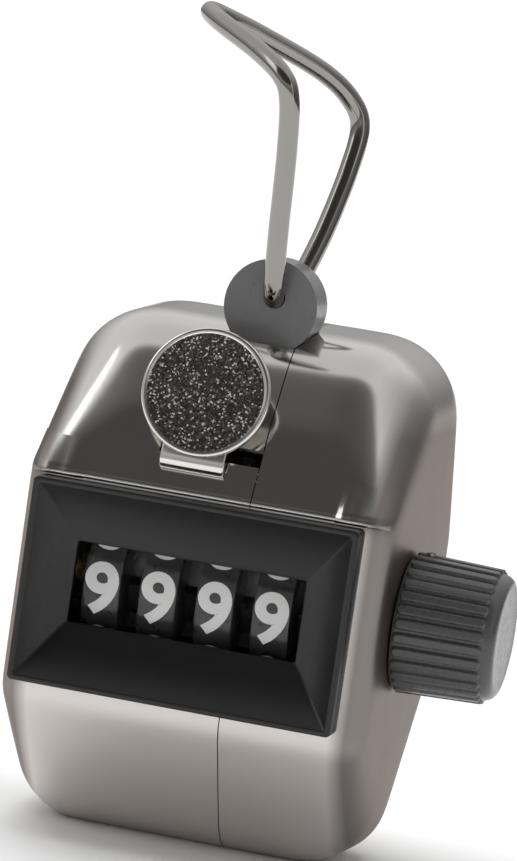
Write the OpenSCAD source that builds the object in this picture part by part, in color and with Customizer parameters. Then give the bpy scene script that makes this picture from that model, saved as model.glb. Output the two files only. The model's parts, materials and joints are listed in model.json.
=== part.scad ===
// Hand tally counter: a two-shell pressed steel case with a thumb lever, four
// number wheels, a reset knob and a wire finger ring.
// +X points to the reset knob, -Y to the front with the number window, +Z up.
// The origin lies on the flat bottom of the case, below the middle of the bezel.

/* [Case] */
// Half the width of the case
case_half_w = 17.9; // [17:0.1:18.5]
// How far the case's middle lies to the right of the bezel's middle
case_mid_x = 0.4; // [0:0.1:0.8]
// Total height of the case
case_h = 50.3; // [49.5:0.1:51]
// Depth of the case behind the wheel axis
case_back_y = 21.6; // [21:0.2:23]
// Wall thickness of the two shells
wall = 0.8; // [0.6:0.1:1]
// Position of the joint between the left and the right shell
seam_x = 4.6; // [4:0.1:5]

/* [Bezel] */
// Width of the bezel
bezel_w = 31.6; // [31:0.1:32]
// Height of the bezel
bezel_h = 19.5; // [19:0.1:19.8]
// How far the bezel stands out of the case's front
bezel_out = 2.6; // [2:0.1:3]
// Width of the number window
window_w = 22.4; // [22:0.1:22.8]
// Height of the number window
window_h = 7.8; // [7.2:0.1:8]

/* [Number wheels] */
// Height of the wheel axis above the bottom of the case
axis_z = 24.4; // [24:0.1:24.8]
// Distance of the wheel axis behind the origin
axis_y = 1.45; // [1.35:0.05:1.7]
// Radius of a number wheel
wheel_r = 10.1; // [9.8:0.1:10.2]
// Width of a number wheel's drum
wheel_w = 3.75; // [3.5:0.05:3.9]
// Distance from one number wheel to the next
wheel_pitch = 5.56; // [5.4:0.02:5.6]
// Middle of the left-hand number wheel
first_wheel_x = -9; // [-9.2:0.1:-8.8]
// Outer radius of a wheel's ratchet
ratchet_r = 7.2; // [7:0.1:7.3]

/* [Reset knob] */
// Radius of the knob next to the case
knob_r = 6.8; // [6.4:0.1:7]
// Length of the knob
knob_len = 9.8; // [9:0.1:11]
// Number of grip ribs around the knob
knob_ribs = 30; // [24:1:34]

/* [Thumb lever] */
// Diameter of the thumb pad
pad_d = 12.4; // [11:0.1:13]
// Lean of the thumb pad from the vertical, in degrees
pad_lean = 14; // [8:1:18]
// Thickness of the lever's sheet metal
lever_t = 0.8; // [0.6:0.1:0.9]

/* [Finger ring] */
// Diameter of the ring's wire
wire_d = 1.95; // [1.8:0.05:2]
// Diameter of the black boss that holds the ring
boss_d = 9.1; // [8.8:0.1:9.3]

/* [Hidden] */

steel = "silver";
dark = [0.12, 0.12, 0.13];
fit = 0.05; // radial running clearance of a pin in its hole

// Case: front face, edge radius of the front, and the balls that its skin is stretched over
front_y = -10.5;
front_r = 2.4;
front_low_z = axis_z - 11;
front_high_z = axis_z + 9.8;
// Each row is [half width, y, z, radius] of a pair of balls, one on each side
case_balls = [
    [case_half_w, front_y + front_r, front_low_z, front_r],
    [case_half_w, front_y + front_r, front_high_z, front_r],
    [case_half_w + 0.1, 1.6, 6.85, 7.2],
    [case_half_w + 0.1, 6.5, 5.8, 5.9],
    [case_half_w, case_back_y - 2, axis_z - 6.9, 2],
    [case_half_w, case_back_y - 2, axis_z + 6.2, 2],
    [case_half_w, 3.3, case_h - 8, 7.8],
    [case_half_w + 0.1, 12.9, case_h - 7.9, 7.9]];
// Height of the screw and its post along Y, behind the frame
post_y = case_back_y - 4;

// Bezel
bezel_front = front_y - bezel_out;
bezel_low = axis_z - 9.8;
rim = 0.6;
window_y = -9.6;
window_x = -0.4;
window_z = axis_z - 0.1;
lens_t = 0.45;

// Frame plates on both sides of the wheels
plate_t = 1;
left_plate_x = -15.4;
right_plate_x = 14;
rod_r = 1.3;
rod_places = [[13.4, axis_z + 4], [12.5, axis_z - 9], [-5.6, axis_z - 11.2]];

// Shaft and wheels
shaft_r = 2;
drum_x0 = -wheel_w / 2;
ratchet_w = 1.5;
teeth = 10;
shaft_left = left_plate_x - 1.3;
knob_x = case_mid_x + case_half_w + 0.2;
shaft_right = knob_x + knob_len - 3;

// Thumb lever: its pivot, the slot it leaves through, and the rear end that carries the pawl
lever_x = -1.6;
neck_w = 6.2;
pivot = [-3.2, axis_z + 11.8];
neck_y = -9.9;
neck_z = axis_z + 13.9;
pin_r = 0.8;
pawl_at = [axis_y + 8.4, axis_z + 13];
yoke_x = [wheel_x(0) - 3.1, wheel_x(3) + 5.6];
strip_z = pivot[1] + 0.5;
slot_z0 = axis_z + 11.6;
slot_z1 = axis_z + 14.9;

// Detent comb under the wheels, on a bar between the frame plates
comb_z = axis_z - 13;
bar_y = [3, 7.5];
bar_t = 2;
bar_pin = [5.2, comb_z - bar_t / 2];

// Finger ring
boss_at = [1.6, 1.2, axis_z + 27.8];
boss_t = 4.4;
hole_up = 0.9;
ring_x = boss_at[0] + 0.3;
ring_z = boss_at[2] + hole_up;

function wheel_x(i) = first_wheel_x + i * wheel_pitch;

// The case's outer skin is stretched over the balls; inset gives its inner skin
module case_solid(inset) {
    hull()
        for (b = case_balls, side = [-1, 1])
            translate([case_mid_x + side * (b[0] - b[3]), b[1], b[2]])
                sphere(b[3] - inset, $fn = 32);
}

// The brow that overhangs the bezel's upper edge
module brow() {
    hull() {
        for (side = [-1, 1])
            translate([case_mid_x + side * (case_half_w - 1.6), front_y - 1.9, axis_z + 10.3])
                sphere(0.55, $fn = 16);
        translate([case_mid_x - case_half_w + 1.6, front_y + 0.4, axis_z + 9.75])
            cube([2 * case_half_w - 3.2, 1.2, 1.8]);
    }
}

module case_openings() {
    // Front opening behind the bezel
    translate([-bezel_w / 2 + 0.6, front_y - 5, bezel_low + 0.6])
        cube([bezel_w - 1.2, 8, bezel_h - 1.2]);
    // The bezel's own space, so that the brow and the case clear it
    translate([-bezel_w / 2 - 0.1, bezel_front - 1, bezel_low - 0.1])
        cube([bezel_w + 0.2, bezel_out + 1, bezel_h + 0.2]);
    // Hole for the reset shaft
    translate([0, axis_y, axis_z]) rotate([0, 90, 0]) cylinder(r = 3, h = 30, $fn = 48);
    // Slot for the thumb lever, from the left of the neck to the seam
    translate([lever_x - neck_w / 2 - 0.5, -14, slot_z0])
        cube([seam_x - lever_x + neck_w / 2 + 0.5, 9, slot_z1 - slot_z0]);
    // Seat of the ring boss
    translate([boss_at[0], boss_at[1] - boss_t / 2 - 0.1, boss_at[2]])
        rotate([-90, 0, 0]) cylinder(d = boss_d + 0.2, h = boss_t + 0.2, $fn = 64);
    // Hole for the case screw in the left side
    translate([-25, post_y, axis_z]) rotate([0, 90, 0]) cylinder(r = 1.1, h = 12, $fn = 32);
}

module case_skin() {
    difference() {
        union() {
            case_solid(0);
            brow();
        }
        case_solid(wall);
        case_openings();
    }
}

module left_shell() {
    color(steel)
        intersection() {
            case_skin();
            translate([-40, -40, 0]) cube([40 + seam_x - 0.05, 80, 80]);
        }
}

module right_shell() {
    color(steel)
        intersection() {
            case_skin();
            translate([seam_x + 0.05, -40, 0]) cube([40, 80, 80]);
        }
}

// Funnel-shaped frame round the window, with a flange behind the case's front wall
module bezel() {
    flange = 0.7;
    back_y = window_y + lens_t + 0.25;
    color(dark)
        difference() {
            union() {
                translate([-bezel_w / 2, bezel_front, bezel_low])
                    cube([bezel_w, bezel_out - 0.05, bezel_h]);
                translate([-bezel_w / 2 + 0.65, bezel_front, bezel_low + 0.65])
                    cube([bezel_w - 1.3, back_y - bezel_front, bezel_h - 1.3]);
                translate([-bezel_w / 2 + 0.2, front_y + wall + 0.1, bezel_low + 0.2])
                    cube([bezel_w - 0.4, flange, bezel_h - 0.4]);
            }
            hull() {
                translate([-bezel_w / 2 + rim, bezel_front - 0.01, bezel_low + rim])
                    cube([bezel_w - 2 * rim, 0.01, bezel_h - 2 * rim]);
                translate([window_x - window_w / 2, window_y, window_z - window_h / 2])
                    cube([window_w, 0.01, window_h]);
            }
            translate([window_x - window_w / 2, window_y - 0.5, window_z - window_h / 2])
                cube([window_w, 3, window_h]);
            lens_box(0.05, 2);
        }
}

// The lens's block, grown by extra at its edges and made deep
module lens_box(extra, deep) {
    translate([window_x - window_w / 2 - 0.7 - extra, window_y + 0.1, window_z - window_h / 2 - 0.5 - extra])
        cube([window_w + 1.4 + 2 * extra, deep, window_h + 1 + 2 * extra]);
}

module window_lens() {
    color([0.8, 0.85, 0.9, 0.3]) lens_box(0, lens_t);
}

// Side plate of the inner frame: its outline, then the holes for shaft, pins, bar and rods
module frame_plate(x, bearing_r) {
    translate([x, 0, 0])
        rotate([90, 0, 90])
            linear_extrude(plate_t)
                difference() {
                    polygon([[-7.6, axis_z - 8.5], [-7.6, axis_z - 12.2], [-3.5, axis_z - 13.6],
                        [2.4, axis_z - 15.3], [7.9, axis_z - 15.3], [15, axis_z - 9.2],
                        [15, axis_z + 6], [11.5, axis_z + 10.6], [0, axis_z + 14.2],
                        [-5.2, axis_z + 14.2], [-6.4, axis_z + 11.5], [-5.6, axis_z]]);
                    translate([axis_y, axis_z]) circle(bearing_r, $fn = 48);
                    translate(pivot) circle(pin_r, $fn = 32);
                    translate(bar_pin) circle(0.6, $fn = 32);
                    for (p = rod_places) translate(p) circle(0.8, $fn = 32);
                }
}

module frame_left_plate() {
    color("lightgray") frame_plate(left_plate_x, 3);
}

module frame_right_plate() {
    color("lightgray") frame_plate(right_plate_x, 3);
}

module along_x(x0, x1, r, at = [0, 0]) {
    translate([x0, at[0], at[1]]) rotate([0, 90, 0]) cylinder(r = r, h = x1 - x0, $fn = 48);
}

// Three shouldered rods; their thin ends fill the plates' holes
module frame_tie_rods() {
    color("gray")
        for (p = rod_places) {
            along_x(left_plate_x + plate_t, right_plate_x, rod_r, p);
            along_x(left_plate_x, left_plate_x + plate_t, 0.8, p);
            along_x(right_plate_x, right_plate_x + plate_t, 0.8, p);
        }
}

// Heads that clamp the rods' ends from outside, one for each rod end
module frame_screws() {
    color("gray")
        for (p = rod_places, x = [left_plate_x - 0.7, right_plate_x + plate_t])
            difference() {
                along_x(x, x + 0.7, 1.4, p);
                translate([x < 0 ? x - 0.1 : x + 0.4, p[0] - 1.5, p[1] - 0.2]) cube([0.4, 3, 0.4]);
            }
}

// Flanged bush that carries the shaft in a frame plate and spaces the wheels
module bush(plate_x, inner_x) {
    x0 = min(plate_x, inner_x);
    x1 = max(plate_x + plate_t, inner_x);
    difference() {
        union() {
            along_x(plate_x, plate_x + plate_t, 3, [axis_y, axis_z]);
            along_x(min(plate_x + plate_t, inner_x), max(plate_x, inner_x), 3.6, [axis_y, axis_z]);
        }
        along_x(x0 - 1, x1 + 1, shaft_r + fit, [axis_y, axis_z]);
    }
}

module left_bush() {
    color("goldenrod") bush(left_plate_x, wheel_x(0) + drum_x0 - 0.25);
}

module right_bush() {
    color("goldenrod") bush(right_plate_x, wheel_x(3) - drum_x0 + ratchet_w + 0.25);
}

// Shaft with a lengthwise groove that picks the wheels up when it is turned
module number_shaft() {
    color("silver")
        difference() {
            along_x(shaft_left, shaft_right, shaft_r, [axis_y, axis_z]);
            translate([wheel_x(0) - 2, axis_y - 0.5, axis_z + shaft_r - 0.6])
                cube([wheel_x(3) - wheel_x(0) + 4, 1, 2]);
            // Groove for the clip at the left end
            difference() {
                along_x(shaft_left + 0.3, shaft_left + 0.8, shaft_r + 1, [axis_y, axis_z]);
                along_x(shaft_left, shaft_left + 1, shaft_r - 0.4, [axis_y, axis_z]);
            }
            translate([knob_x + 1.6, axis_y, axis_z - 5]) cylinder(r = 0.5, h = 10, $fn = 24);
        }
}

// Clip in the shaft's groove, open at the bottom
module shaft_clip() {
    color("dimgray")
        difference() {
            along_x(shaft_left + 0.35, shaft_left + 0.75, 3.1, [axis_y, axis_z]);
            along_x(shaft_left, shaft_left + 1, shaft_r - 0.4, [axis_y, axis_z]);
            translate([shaft_left, axis_y - 1.1, axis_z - 5]) cube([1, 2.2, 5]);
        }
}

// Knob outline across its axis: flat-topped ribs with narrow grooves between them
function knob_outline(r) = [for (i = [0 : knob_ribs - 1], k = [0 : 3])
    let (a = (i + [0.12, 0.24, 0.76, 0.88][k]) * 360 / knob_ribs,
         d = k == 1 || k == 2 ? r : r - 0.4)
    [d * cos(a), d * sin(a)]];

module reset_knob() {
    end_t = 1.1;
    color([0.07, 0.07, 0.07])
        difference() {
            union() {
                intersection() {
                    translate([knob_x, axis_y, axis_z]) rotate([0, 90, 0])
                        linear_extrude(knob_len - end_t) polygon(knob_outline(knob_r));
                    translate([knob_x, axis_y, axis_z]) rotate([0, 90, 0])
                        cylinder(r1 = knob_r, r2 = knob_r - 0.35, h = knob_len, $fn = 96);
                }
                translate([knob_x + knob_len - end_t - 0.01, axis_y, axis_z]) rotate([0, 90, 0])
                    cylinder(r1 = knob_r - 0.5, r2 = knob_r - 1.3, h = end_t + 0.01, $fn = 96);
            }
            along_x(knob_x - 1, shaft_right, shaft_r, [axis_y, axis_z]);
            translate([knob_x + 1.6, axis_y, axis_z - 10]) cylinder(r = 0.5, h = 20, $fn = 24);
        }
}

// Cross pin that holds the knob on the shaft; its upper end shows as a small nib
module knob_pin() {
    color("dimgray")
        translate([knob_x + 1.6, axis_y, axis_z - knob_r + 1])
            cylinder(r = 0.5, h = 2 * knob_r - 0.9, $fn = 24);
}

// Ratchet outline: ten saw teeth
function ratchet_outline(r) = [for (i = [0 : teeth - 1], k = [0, 1])
    let (a = i * 360 / teeth + (k == 0 ? 0 : 4), d = k == 0 ? r : r - 1.3)
    [d * cos(a), d * sin(a)]];

// Number wheel: a hollowed drum for the printed digits and a ratchet on its right side
module number_wheel(i) {
    x = wheel_x(i);
    color(dark)
        difference() {
            union() {
                along_x(x + drum_x0, x - drum_x0, wheel_r, [axis_y, axis_z]);
                translate([x - drum_x0 - 0.01, axis_y, axis_z]) rotate([90, 0, 90])
                    linear_extrude(ratchet_w + 0.01) polygon(ratchet_outline(ratchet_r));
            }
            along_x(x - 5, x + 5, shaft_r + fit, [axis_y, axis_z]);
            // Hollow left side
            difference() {
                along_x(x + drum_x0 - 1, x + drum_x0 + 1.4, wheel_r - 1, [axis_y, axis_z]);
                along_x(x + drum_x0 - 1, x + drum_x0 + 1.4, 4, [axis_y, axis_z]);
            }
            // Pocket for the reset pawl, open to the bore
            translate([x - 0.6, axis_y - 0.9, axis_z]) cube([1.2, 1.8, 4.4]);
        }
}

module wheel_thousands() { number_wheel(0); }
module wheel_hundreds() { number_wheel(1); }
module wheel_tens() { number_wheel(2); }
module wheel_units() { number_wheel(3); }

// Sprung pawl in a wheel's hub, which drops into the shaft's groove at zero
module reset_pawl(i) {
    color("goldenrod")
        translate([wheel_x(i) - 0.5, axis_y, axis_z])
            rotate([90, 0, 90])
                linear_extrude(1)
                    polygon([[-0.8, 2.3], [0.1, 2.1], [0.8, 3], [0.8, 4.2], [-0.8, 4.2]]);
}

module reset_pawl_thousands() { reset_pawl(0); }
module reset_pawl_hundreds() { reset_pawl(1); }
module reset_pawl_tens() { reset_pawl(2); }
module reset_pawl_units() { reset_pawl(3); }

// Flat strip of sheet metal between two points in the Y-Z plane, with rounded ends
module strip(x0, x1, a, b) {
    hull()
        for (p = [a, b])
            translate([x0, p[0], p[1]]) rotate([0, 90, 0]) cylinder(d = lever_t, h = x1 - x0, $fn = 16);
}

// Thumb lever: round pad, neck, curl through the slot, and a yoke that carries the comb pawl
module thumb_lever() {
    half = neck_w / 2;
    pad_c = [neck_y + (pad_d / 2 - 0.4) * sin(pad_lean), neck_z + (pad_d / 2 - 0.4) * cos(pad_lean)];
    knee = [neck_y - 0.1, strip_z];
    color(steel)
        difference() {
            union() {
                translate([lever_x, pad_c[0], pad_c[1]]) rotate([90 - pad_lean, 0, 0])
                    cylinder(d = pad_d, h = lever_t, center = true, $fn = 96);
                strip(lever_x - half, lever_x + half, [neck_y + 0.3, neck_z + 1.2], knee);
                strip(lever_x - half, lever_x + half, knee, [pivot[0] - 2, strip_z]);
                strip(yoke_x[0], yoke_x[1], [pivot[0] - 2.5, strip_z], [pivot[0] - 2, strip_z]);
                for (x = [yoke_x[0], yoke_x[1] - lever_t]) yoke_arm(x);
            }
            along_x(yoke_x[0] - 1, yoke_x[1] + 1, pin_r + fit, pivot);
            along_x(yoke_x[0] - 1, yoke_x[1] + 1, 0.65, pawl_at);
        }
}

// Upright side of the yoke, from the lever's pivot back to the pawl's pin
module yoke_arm(x) {
    translate([x, 0, 0]) rotate([90, 0, 90])
        linear_extrude(lever_t)
            union() {
                polygon([[pivot[0] - 2, pivot[1] - 1.3], [pivot[0] - 2, pivot[1] + 1.2],
                    [pawl_at[0], pawl_at[1] + 1.4], [pawl_at[0], pawl_at[1] - 1.4],
                    [pivot[0] + 4, pivot[1] - 0.2], [pivot[0] + 1, pivot[1] - 1.3]]);
                translate(pawl_at) circle(1.4, $fn = 32);
            }
}

module lever_pivot_pin() {
    color("gray") along_x(left_plate_x, right_plate_x + plate_t, pin_r, pivot);
}

// Comb pawl: a bar on the pawl pin with one finger for each wheel's ratchet
module comb_pawl() {
    bar_x0 = yoke_x[0] + lever_t + 0.15;
    bar_x1 = yoke_x[1] - lever_t - 0.15;
    color("lightgray")
        difference() {
            union() {
                along_x(bar_x0, bar_x1, 1.2, pawl_at);
                for (i = [0 : 3])
                    translate([wheel_x(i) - drum_x0 + ratchet_w / 2 - 0.45, 0, 0]) rotate([90, 0, 90])
                        linear_extrude(0.9)
                            polygon([[pawl_at[0] - 0.6, pawl_at[1]], [pawl_at[0] + 0.9, pawl_at[1]],
                                [pawl_at[0] + 0.7, axis_z + 4.6], [axis_y + ratchet_r + 0.7, axis_z + 3.2],
                                [axis_y + ratchet_r + 0.7, axis_z + 4.6]]);
            }
            along_x(bar_x0 - 1, bar_x1 + 1, 0.65 + fit, pawl_at);
        }
}

module pawl_pin() {
    color("gray") along_x(yoke_x[0], yoke_x[1], 0.65, pawl_at);
}

// Tube of wire along a list of points; each ring of sides stands square to its neighbours
function unit(v) = v / norm(v);
function heading(path, i) = unit(path[min(i + 1, len(path) - 1)] - path[max(i - 1, 0)]);
module wire_tube(path, d, sides, closed = false) {
    n = len(path);
    rings = [for (i = [0 : n - 1])
        let (t = closed ? unit(path[(i + 1) % n] - path[(i + n - 1) % n]) : heading(path, i),
             side = unit(cross(t, abs(t[0]) < 0.9 ? [1, 0, 0] : [0, 0, 1])),
             up = cross(t, side))
        for (k = [0 : sides - 1])
            path[i] + d / 2 * (cos(k * 360 / sides) * side + sin(k * 360 / sides) * up)];
    last = closed ? n - 1 : n - 2;
    walls = [for (i = [0 : last], k = [0 : sides - 1])
        let (j = (i + 1) % n, m = (k + 1) % sides)
        [i * sides + k, i * sides + m, j * sides + m, j * sides + k]];
    caps = closed ? [] : [
        [for (k = [sides - 1 : -1 : 0]) k],
        [for (k = [0 : sides - 1]) (n - 1) * sides + k]];
    polyhedron(rings, concat(walls, caps), convexity = 8);
}

// Torsion spring round a pin: coils along X, with a leg at each end that points to a and b
module torsion_spring(x, at, r, wire, turns, a, b) {
    steps = 14;
    coil = [for (i = [0 : turns * steps])
        let (w = 90 + i * 360 / steps)
        [x + i * (wire + 0.05) / steps, at[0] + r * cos(w), at[1] + r * sin(w)]];
    path = concat([[x, at[0] + a[0], at[1] + r]], coil,
        [[x + turns * (wire + 0.05), at[0] + b[0], at[1] + r + b[1]]]);
    wire_tube(path, wire, 8);
}

module lever_spring() {
    color("dimgray")
        torsion_spring(yoke_x[0] + lever_t + 0.6, pivot, pin_r + 0.4, 0.4, 5, [3.4, 0], [-2.4, 0]);
}

module pawl_spring() {
    color("dimgray")
        torsion_spring(0.2, pawl_at, 1.5, 0.3, 4, [2.2, 0], [-2.6, 0]);
}

// Bar between the frame plates that the detent comb is screwed to; its pins fill the plates' holes
module detent_bar() {
    color("gray")
        difference() {
            union() {
                translate([left_plate_x + plate_t, bar_y[0], comb_z - bar_t])
                    cube([right_plate_x - left_plate_x - plate_t, bar_y[1] - bar_y[0], bar_t]);
                along_x(left_plate_x, right_plate_x + plate_t, 0.6, bar_pin);
            }
            comb_holes(comb_z - bar_t - 1);
        }
}

// Places of the two screws along the comb
module comb_holes(z) {
    for (x = comb_screw_x)
        translate([x, 5.6, z]) cylinder(r = 0.6, h = 6, $fn = 24);
}
comb_screw_x = [wheel_x(0) + 0.7, wheel_x(3) + 0.7];

// Springy comb under the wheels: one finger for each ratchet
module detent_comb() {
    color("lightgray")
        difference() {
            union() {
                translate([wheel_x(0) - 0.6, bar_y[0], comb_z])
                    cube([wheel_x(3) - wheel_x(0) + 4, bar_y[1] - bar_y[0], 0.4]);
                for (i = [0 : 3])
                    translate([wheel_x(i) - drum_x0 + ratchet_w / 2 - 0.5, 0, 0]) rotate([90, 0, 90])
                        linear_extrude(1)
                            polygon([[axis_y + 4.1, comb_z], [axis_y + 4.1, comb_z + 0.4],
                                [axis_y - 0.4, axis_z - ratchet_r - 0.4],
                                [axis_y - 0.9, axis_z - ratchet_r - 0.6]]);
            }
            comb_holes(comb_z - 2);
        }
}

// Screws that hold the detent comb to its bar
module detent_screws() {
    color("gray")
        for (x = comb_screw_x)
            translate([x, 5.6, 0]) {
                translate([0, 0, comb_z + 0.4]) cylinder(r = 1.1, h = 0.6, $fn = 32);
                translate([0, 0, comb_z - bar_t]) cylinder(r = 0.6, h = bar_t + 0.4, $fn = 24);
            }
}

// Black disc that holds the ring; its foot hooks under the case's top
module ring_boss() {
    foot_z = boss_at[2] - boss_d / 2 - 1.6;
    color([0.1, 0.1, 0.1])
        difference() {
            union() {
                translate([boss_at[0], boss_at[1] - boss_t / 2, boss_at[2]]) rotate([-90, 0, 0])
                    cylinder(d = boss_d, h = boss_t, $fn = 96);
                translate([boss_at[0] - 1.5, boss_at[1] - boss_t / 2 + 0.4, foot_z])
                    cube([3, boss_t - 0.8, 2.2]);
                translate([boss_at[0] - 3.4, boss_at[1] - boss_t / 2 - 0.3, foot_z])
                    cube([6.8, boss_t + 0.6, 0.8]);
            }
            translate([ring_x, boss_at[1] - boss_t, ring_z]) rotate([-90, 0, 0])
                cylinder(d = wire_d + 2 * fit, h = 2 * boss_t, $fn = 48);
        }
}

// The ring's route: through the boss, up both sides of it, then bent over to the left
ring_points = [
    [0, -0.5, 0], [0, -2.2, 0], [0, -2.75, 0.15], [0.1, -3.9, 1.6],
    [0.2, -5.6, 7], [0.4, -7.6, 14], [0.2, -8.8, 19],
    [-0.9, -8.6, 21.2], [-4, -6.2, 23], [-8.4, -2.6, 24.8], [-10.6, 0.4, 25.6], [-11.2, 2.6, 25.8],
    [-10.4, 4.8, 25.4], [-7, 7.4, 24], [-1.6, 11.2, 21.4], [1.2, 13.2, 19], [2.4, 13.6, 16.4],
    [2.2, 12, 12], [1.4, 8.6, 6], [0.4, 5.6, 1.4], [0, 3.8, 0], [0, 2, 0]];
// A closed smooth curve through the points above
function smooth(a, b, c, d, t) = 0.5 * (2 * b + (c - a) * t + (2 * a - 5 * b + 4 * c - d) * t * t
    + (3 * b - a - 3 * c + d) * t * t * t);
function closed_curve(p, steps) = let (n = len(p)) [for (i = [0 : n - 1], k = [0 : steps - 1])
    smooth(p[(i + n - 1) % n], p[i], p[(i + 1) % n], p[(i + 2) % n], k / steps)];

module finger_ring() {
    color(steel)
        translate([ring_x, boss_at[1], ring_z])
            wire_tube(closed_curve(ring_points, 4), wire_d, 16, closed = true);
}

module case_screw() {
    x = case_mid_x - case_half_w;
    color("gray")
        difference() {
            union() {
                along_x(x - 0.85, x - 0.2, 2, [post_y, axis_z]);
                along_x(x - 0.3, x + 4, 1, [post_y, axis_z]);
            }
            translate([x - 1, post_y - 2, axis_z - 0.25]) cube([0.7, 4, 0.5]);
        }
}

// Threaded post on the right shell that the case screw runs into
module case_post() {
    x0 = case_mid_x - case_half_w + wall + 0.05;
    x1 = case_mid_x + case_half_w - wall;
    color("goldenrod")
        difference() {
            along_x(x0, x1 - 0.05, 2, [post_y, axis_z]);
            along_x(x0 - 1, x0 + 4, 1, [post_y, axis_z]);
        }
}

left_shell();
right_shell();
bezel();
window_lens();
frame_left_plate();
frame_right_plate();
frame_tie_rods();
frame_screws();
left_bush();
right_bush();
number_shaft();
shaft_clip();
reset_knob();
knob_pin();
wheel_thousands();
wheel_hundreds();
wheel_tens();
wheel_units();
reset_pawl_thousands();
reset_pawl_hundreds();
reset_pawl_tens();
reset_pawl_units();
thumb_lever();
lever_pivot_pin();
lever_spring();
comb_pawl();
pawl_pin();
pawl_spring();
detent_bar();
detent_comb();
detent_screws();
ring_boss();
finger_ring();
case_screw();
case_post();
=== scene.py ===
"""Looks of the hand tally counter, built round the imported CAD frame. Sizes are in mm, the scene in metres."""
import json
import math

import bmesh
import bpy
import numpy as np
from mathutils import Matrix, Vector


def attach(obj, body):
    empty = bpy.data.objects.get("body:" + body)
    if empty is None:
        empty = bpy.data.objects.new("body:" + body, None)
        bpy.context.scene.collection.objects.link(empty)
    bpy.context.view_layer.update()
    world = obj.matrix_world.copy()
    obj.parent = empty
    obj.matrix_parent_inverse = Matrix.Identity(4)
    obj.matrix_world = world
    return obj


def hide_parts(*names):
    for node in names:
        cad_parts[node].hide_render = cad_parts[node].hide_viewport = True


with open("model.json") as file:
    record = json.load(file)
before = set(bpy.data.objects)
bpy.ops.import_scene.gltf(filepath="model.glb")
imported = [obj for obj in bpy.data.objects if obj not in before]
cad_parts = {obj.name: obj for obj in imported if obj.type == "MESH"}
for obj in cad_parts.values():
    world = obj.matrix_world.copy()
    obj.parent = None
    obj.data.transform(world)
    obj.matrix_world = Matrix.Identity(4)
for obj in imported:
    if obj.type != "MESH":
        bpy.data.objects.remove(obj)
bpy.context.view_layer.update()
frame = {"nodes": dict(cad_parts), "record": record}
MM = 0.001
nodes = frame["nodes"]

# ---------------------------------------------------------------- sizes, in millimetres
AXIS_Z = 24.4
AXIS_Y = 1.45
SEAM_X = 4.6
SEAM_GAP = 0.05
WALL = 0.8
CASE_MID_X = 0.4
FRONT_Y = -10.5
WHEEL_X = [-9.0, -3.44, 2.12, 7.68]
WHEEL_R = 10.1
WHEEL_W = 3.75
KNOB_X = 18.5
KNOB_LEN = 9.8
KNOB_R = 6.8
KNOB_RIBS = 30
# Each row is (half width, y, z, radius) of a pair of balls that the case's skin is stretched over
CASE_BALLS = [
    (17.9, -8.1, 13.4, 2.4), (17.9, -8.1, 34.2, 2.4), (18.0, 1.6, 6.85, 7.2), (18.0, 6.5, 5.8, 5.9),
    (17.9, 19.5, 17.5, 2.0), (17.9, 19.5, 30.6, 2.0), (17.9, 3.3, 42.3, 7.8), (18.0, 12.9, 42.4, 7.9),
    (17.6, -0.2, 37.0, 8.0)]


# ---------------------------------------------------------------- materials
def material(name, colour, metallic=0.0, rough=0.4, coat=0.0, spec=0.5):
    m = bpy.data.materials.new(name)
    m.use_nodes = True
    p = m.node_tree.nodes["Principled BSDF"]
    p.inputs["Base Color"].default_value = (*colour, 1)
    p.inputs["Metallic"].default_value = metallic
    p.inputs["Roughness"].default_value = rough
    p.inputs["Coat Weight"].default_value = coat
    p.inputs["Coat Roughness"].default_value = 0.08
    p.inputs["Specular IOR Level"].default_value = spec
    return m, m.node_tree, p


def noise(tree, scale, detail=3.0, stretch=(1, 1, 1), rough=0.5):
    """Object-space noise, stretched along the axes."""
    co = tree.nodes.new("ShaderNodeTexCoord")
    mp = tree.nodes.new("ShaderNodeMapping")
    mp.inputs["Scale"].default_value = stretch
    nz = tree.nodes.new("ShaderNodeTexNoise")
    nz.inputs["Scale"].default_value = scale
    nz.inputs["Detail"].default_value = detail
    nz.inputs["Roughness"].default_value = rough
    tree.links.new(co.outputs["Object"], mp.inputs["Vector"])
    tree.links.new(mp.outputs["Vector"], nz.inputs["Vector"])
    return nz


def ramp(tree, source, stops):
    r = tree.nodes.new("ShaderNodeValToRGB")
    while len(r.color_ramp.elements) < len(stops):
        r.color_ramp.elements.new(0.5)
    for e, (at, v) in zip(r.color_ramp.elements, stops):
        e.position = at
        e.color = (*v, 1) if isinstance(v, tuple) else (v, v, v, 1)
    tree.links.new(source, r.inputs["Fac"])
    return r


def bump(tree, p, source, distance, strength=1.0):
    b = tree.nodes.new("ShaderNodeBump")
    b.inputs["Distance"].default_value = distance
    b.inputs["Strength"].default_value = strength
    tree.links.new(source, b.inputs["Height"])
    tree.links.new(b.outputs["Normal"], p.inputs["Normal"])
    return b


def varied_rough(tree, p, scale, low, high, stretch=(1, 1, 1)):
    nz = noise(tree, scale, 4, stretch)
    r = ramp(tree, nz.outputs["Fac"], [(0.3, low), (0.7, high)])
    tree.links.new(r.outputs["Color"], p.inputs["Roughness"])
    return nz


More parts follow.
